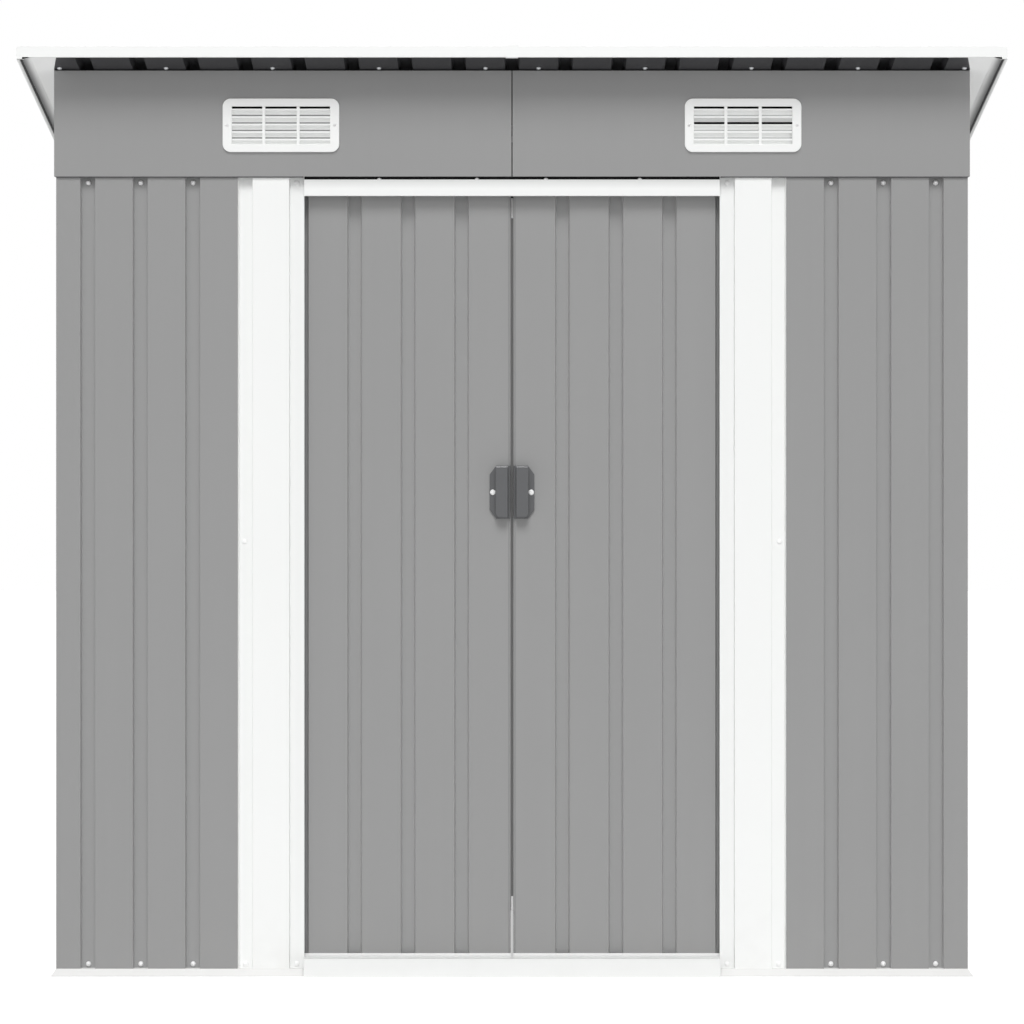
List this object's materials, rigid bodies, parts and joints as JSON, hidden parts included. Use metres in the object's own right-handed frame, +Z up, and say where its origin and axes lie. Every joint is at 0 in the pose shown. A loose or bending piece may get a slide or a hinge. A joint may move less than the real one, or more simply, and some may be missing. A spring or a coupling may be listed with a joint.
{
  "type": "metal storage shed",
  "caption": "Pent-roof garden storage shed of ribbed grey steel sheet with white trim, a pair of sliding doors, louvred fascia vents and an open floor inside its base rails.",
  "frame": {"origin": "on the ground, under the middle of the roof", "axes": "X along the front from left to right, Y from the front to the back, Z up"},
  "size_m": [1.93, 1.21, 1.8225],
  "materials": {
    "grey_sheet": "satin baked paint on ribbed sheet steel",
    "white_sheet": "satin baked white paint on folded sheet steel",
    "rail_steel": "plain galvanised steel",
    "track_steel": "black lacquered steel",
    "vent_moulding": "off-white moulded plastic",
    "handle_moulding": "fine-grained charcoal moulded plastic",
    "runner_nylon": "black nylon"
  },
  "bodies": {
    "shed": {"front_wall_left": "grey_sheet", "front_wall_right": "grey_sheet", "left_wall": "grey_sheet", "right_wall": "grey_sheet", "back_wall_left": "grey_sheet", "back_wall_middle": "grey_sheet", "back_wall_right": "grey_sheet", "gable_left": "grey_sheet", "gable_right": "grey_sheet", "fascia_left": "grey_sheet", "fascia_right": "grey_sheet", "roof_panel_left": "grey_sheet", "roof_panel_middle": "grey_sheet", "roof_panel_right": "grey_sheet", "base_rail_front": "white_sheet", "base_rail_back": "white_sheet", "base_rail_left": "white_sheet", "base_rail_right": "white_sheet", "door_sill": "white_sheet", "door_jamb_left": "white_sheet", "door_jamb_right": "white_sheet", "door_header": "white_sheet", "roof_trim_front_left": "white_sheet", "roof_trim_front_right": "white_sheet", "roof_trim_joint": "white_sheet", "roof_trim_left": "white_sheet", "roof_trim_right": "white_sheet", "roof_trim_back": "white_sheet", "top_rail_left": "rail_steel", "top_rail_right": "rail_steel", "top_rail_back": "rail_steel", "mid_rail_left": "rail_steel", "mid_rail_right": "rail_steel", "mid_rail_back": "rail_steel", "roof_beams": "rail_steel", "door_track": "track_steel", "vent_left": "vent_moulding", "vent_right": "vent_moulding"},
    "left_door": {"left_door_panel": "grey_sheet", "left_door_bars": "white_sheet", "left_door_handle": "handle_moulding", "left_door_runners": "runner_nylon"},
    "right_door": {"right_door_panel": "grey_sheet", "right_door_bars": "white_sheet", "right_door_handle": "handle_moulding", "right_door_runners": "runner_nylon"}
  },
  "joints": [
    {"name": "left_door_slide", "type": "slide", "parent": "shed", "child": "left_door", "axis": [-1, 0, 0], "range_m": [0, 0.36]},
    {"name": "right_door_slide", "type": "slide", "parent": "shed", "child": "right_door", "axis": [1, 0, 0], "range_m": [0, 0.36]}
  ]
}
